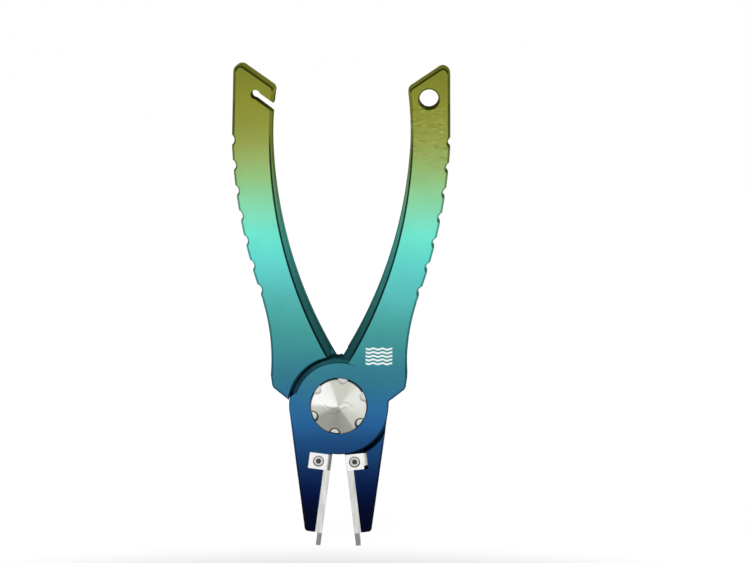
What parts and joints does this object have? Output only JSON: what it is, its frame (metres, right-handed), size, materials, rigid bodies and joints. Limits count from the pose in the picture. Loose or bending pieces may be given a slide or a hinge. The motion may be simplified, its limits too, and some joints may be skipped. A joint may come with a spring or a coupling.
{
  "type": "fishing pliers",
  "caption": "Slim aluminium fishing pliers with scalloped handles, steel jaw inserts, side line cutters, a turned pivot cap, a lanyard hole and a return spring.",
  "frame": {"origin": "centre of the overall box at rest: on the pivot's X and half way through the lever thickness, 37.2 mm above the pivot axis", "axes": "+Z towards the handle ends, -Z towards the jaw tips, Y along the pivot axis with the capped front face at -Y, X across the opening of the jaws"},
  "size_m": [0.0824, 0.0137, 0.1864],
  "materials": {
    "anodised_lever": "satin anodised, colour fades from olive at the handle ends through turquoise to navy at the jaw tips",
    "turned_cap": "finely turned stainless steel",
    "bronze": "plain bearing bronze",
    "bearing_plastic": "off-white low-friction plastic",
    "seal_rubber": "black nitrile rubber",
    "spring_steel": "bright spring wire",
    "insert_steel": "ground stainless steel",
    "cutter_steel": "bright ground tungsten-carbide-like steel",
    "screw_steel": "polished stainless steel",
    "hard_pin": "ground hardened steel"
  },
  "bodies": {
    "front_half": {"front_lever": "anodised_lever", "pivot_bolt": "turned_cap", "pivot_nut": "turned_cap", "front_bushing": "bronze", "front_washer": "bearing_plastic", "centre_washer": "bearing_plastic", "front_seal": "seal_rubber", "return_spring": "spring_steel", "stop_pin": "hard_pin", "left_jaw_insert": "insert_steel", "left_cutter": "cutter_steel", "left_cutter_screw": "screw_steel", "left_insert_screw": "screw_steel", "left_insert_dowels": "hard_pin"},
    "rear_half": {"rear_lever": "anodised_lever", "rear_bushing": "bronze", "rear_washer": "bearing_plastic", "rear_seal": "seal_rubber", "right_jaw_insert": "insert_steel", "right_cutter": "cutter_steel", "right_cutter_screw": "screw_steel", "right_insert_screw": "screw_steel", "right_insert_dowels": "hard_pin"}
  },
  "joints": [
    {"name": "handle_pivot", "type": "hinge", "parent": "front_half", "child": "rear_half", "pos_m": [0, 0, -0.0372], "axis": [0, 1, 0], "range_deg": [0, 14], "stiffness_Nm_per_rad": 0.06, "springref_deg": -20.05, "deforming": ["return_spring"]}
  ]
}
